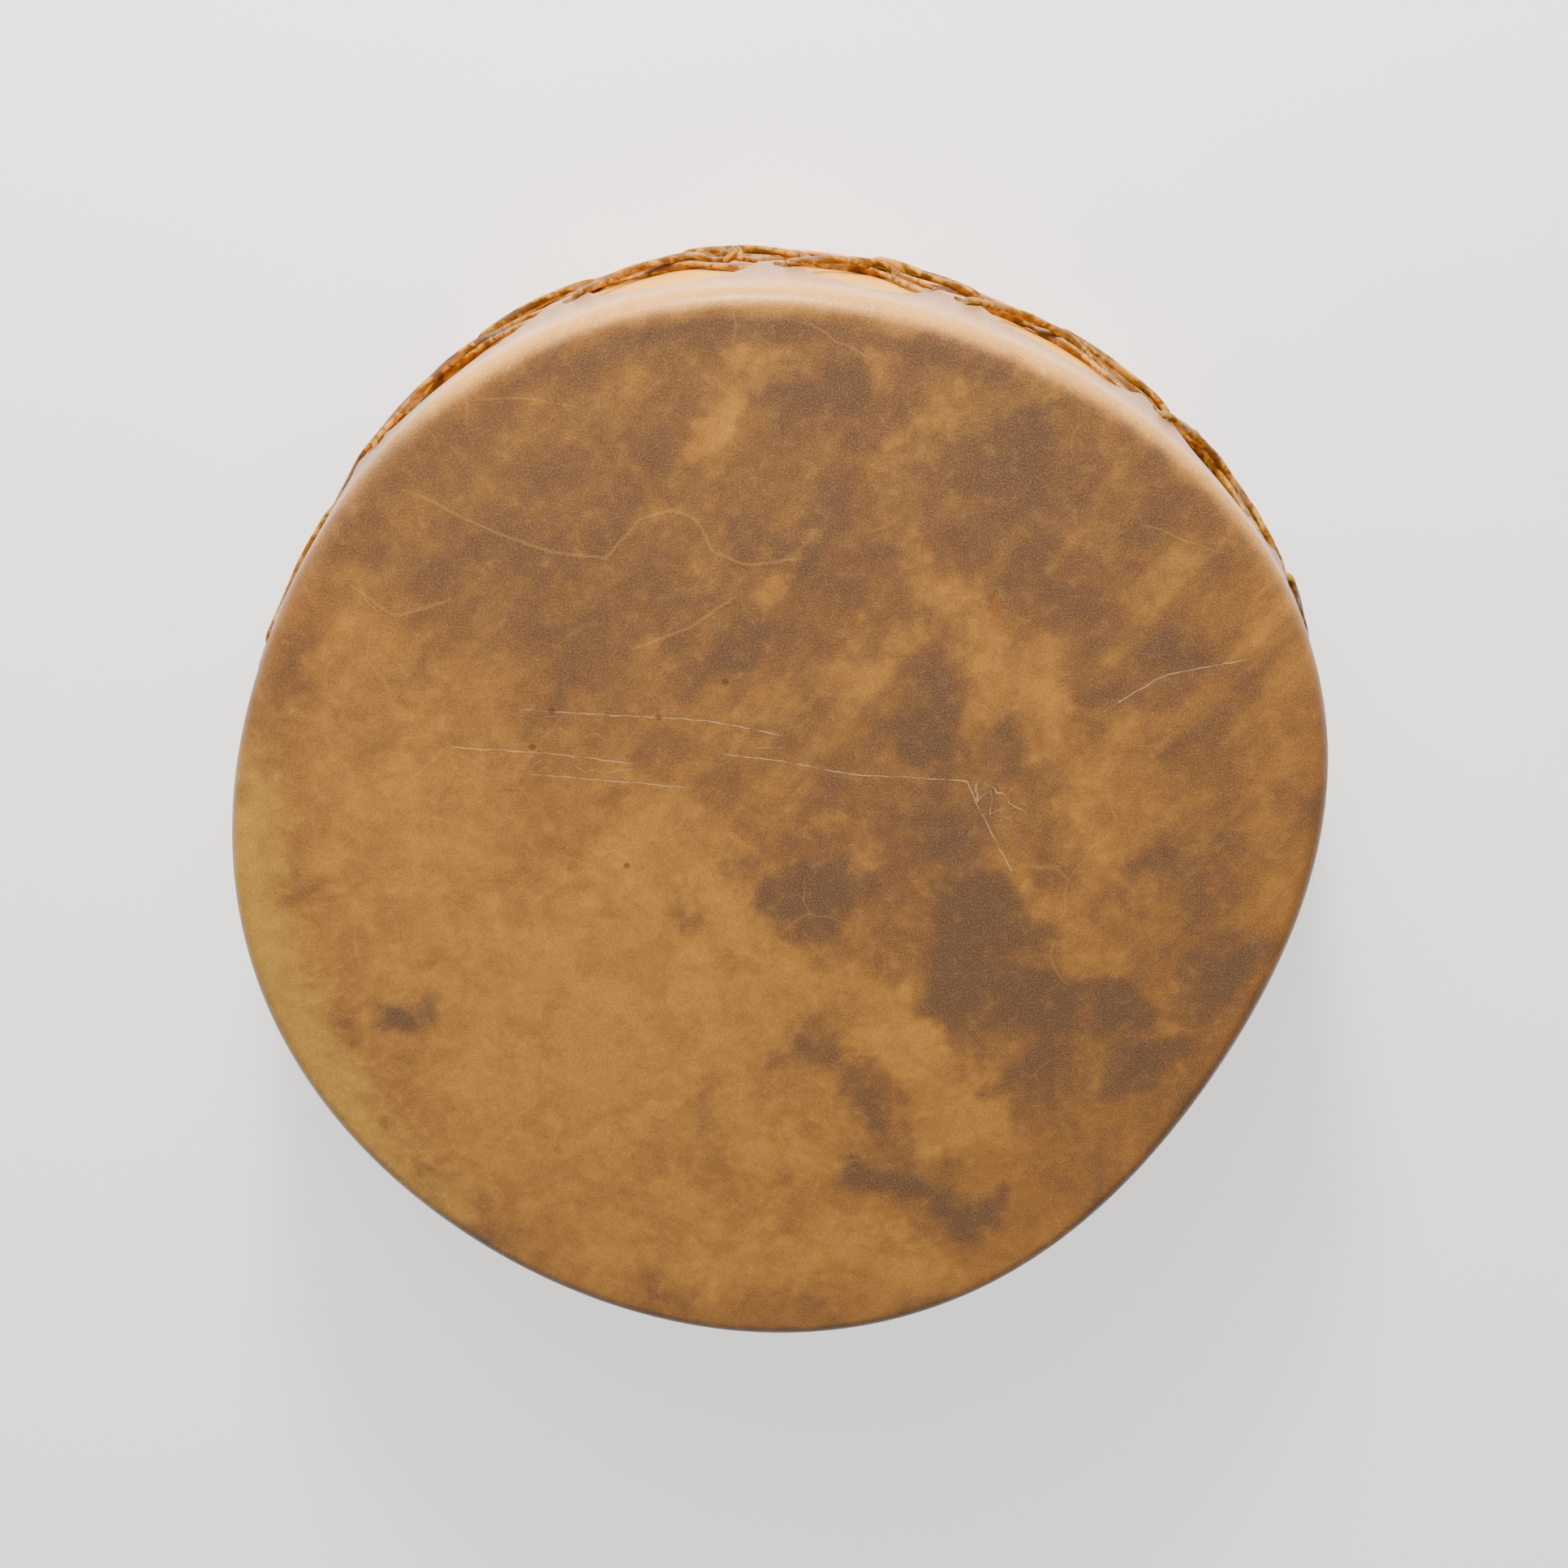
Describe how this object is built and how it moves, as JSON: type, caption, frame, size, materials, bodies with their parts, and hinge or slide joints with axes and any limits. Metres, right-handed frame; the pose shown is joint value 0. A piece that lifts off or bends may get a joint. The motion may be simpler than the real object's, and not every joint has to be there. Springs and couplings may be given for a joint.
{
  "type": "frame drum",
  "caption": "Two-headed rawhide hoop drum: skins with scalloped skirts folded over a bent wooden hoop and drawn together by a twisted rawhide lace around its waist; both flat heads are struck.",
  "frame": {"origin": "centre of the rear head's flat face, which is what the drum lies on", "axes": "+Z along the drum's axis from the rear head to the front head; +Y through a front lace hole; +X completes a right-handed frame"},
  "size_m": [0.4694, 0.4694, 0.116],
  "materials": {
    "hoop_wood": "unfinished bent softwood plank, sanded",
    "tack_iron": "dull dark iron",
    "front_rawhide": "dried rawhide, mottled golden tan, satin",
    "rear_rawhide": "dried rawhide, brown tan, satin",
    "lace_rawhide": "twisted rawhide strip, amber, glossy where worn"
  },
  "bodies": {
    "root": {"hoop": "hoop_wood", "scarf_tacks": "tack_iron", "front_head": "front_rawhide", "rear_head": "rear_rawhide", "lace_length_1": "lace_rawhide", "lace_length_2": "lace_rawhide", "lace_length_3": "lace_rawhide", "lace_length_4": "lace_rawhide"}
  },
  "joints": []
}
